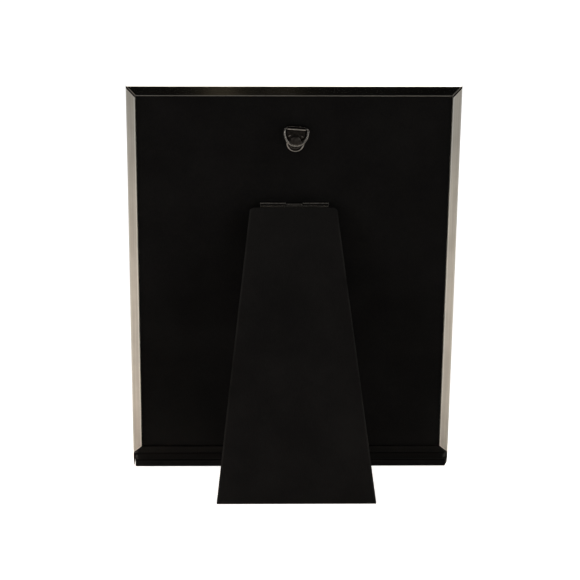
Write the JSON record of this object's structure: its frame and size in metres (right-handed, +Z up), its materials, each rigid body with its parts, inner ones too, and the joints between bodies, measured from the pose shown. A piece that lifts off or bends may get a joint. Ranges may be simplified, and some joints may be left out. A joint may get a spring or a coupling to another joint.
{
  "type": "standing metal photo frame",
  "caption": "Slim polished metal photo frame with a lift-off black back, a hinged easel leg, a swinging D ring hanger and a black base rail.",
  "frame": {"origin": "middle of the foot pad's flat underside, on the table that the frame stands on", "axes": "+Z up, -Y the way the picture faces, +Y towards the leg, +X to the right for someone who looks at the picture"},
  "size_m": [0.2152, 0.1082, 0.2695],
  "materials": {
    "polished_metal": "polished silver-coloured metal with a faint warm cast",
    "plain_steel": "plain zinc-plated steel",
    "black_paint": "satin black paint",
    "black_rubber": "matte black rubber",
    "clear_glass": "clear float glass",
    "insert_paper": "plain matte paper",
    "grey_card": "plain grey card",
    "hardboard": "brown hardboard",
    "black_covering": "matte black covering with a fine grain",
    "dark_metal": "dark gunmetal plated steel"
  },
  "bodies": {
    "frame": {"top_bar": "polished_metal", "bottom_bar": "polished_metal", "left_bar": "polished_metal", "right_bar": "polished_metal", "corner_key_top_left": "plain_steel", "corner_key_top_right": "plain_steel", "corner_key_bottom_left": "plain_steel", "corner_key_bottom_right": "plain_steel", "base_rail": "black_paint", "foot_pad": "black_rubber", "rail_screw_1": "plain_steel", "rail_screw_2": "plain_steel", "rail_screw_3": "plain_steel", "glass_pane": "clear_glass", "photo_insert": "insert_paper", "backing_card": "grey_card"},
    "back": {"back_board": "hardboard", "back_cover": "black_covering", "edge_spring_upper_left": "plain_steel", "edge_spring_upper_right": "plain_steel", "edge_spring_lower_left": "plain_steel", "edge_spring_lower_right": "plain_steel", "hanger_strap": "dark_metal", "hanger_rivet": "dark_metal", "hinge_leaf_back": "dark_metal", "hinge_pin": "dark_metal", "hinge_rivet_back_1": "dark_metal", "hinge_rivet_back_2": "dark_metal", "hinge_rivet_back_3": "dark_metal", "hinge_rivet_back_4": "dark_metal"},
    "ring": {"hanger_ring": "dark_metal"},
    "leg": {"leg_core": "hardboard", "leg_outer_cover": "black_covering", "leg_inner_cover": "black_covering", "hinge_leaf_leg": "dark_metal", "hinge_rivet_leg_1": "dark_metal", "hinge_rivet_leg_2": "dark_metal", "hinge_rivet_leg_3": "dark_metal", "hinge_rivet_leg_4": "dark_metal"}
  },
  "joints": [
    {"name": "back_pull", "type": "slide", "parent": "frame", "child": "back", "axis": [0, 0.9659, -0.2588], "range_m": [0, 0.012]},
    {"name": "leg_fold", "type": "hinge", "parent": "back", "child": "leg", "pos_m": [-0.0007, 0.05728, 0.18885], "axis": [1, 0, 0], "range_deg": [-27.6, 0]},
    {"name": "ring_swing", "type": "hinge", "parent": "back", "child": "ring", "pos_m": [-0.0018, 0.07107, 0.24013], "axis": [0.9974, 0.0185, 0.0691], "range_deg": [-7, 160]}
  ]
}
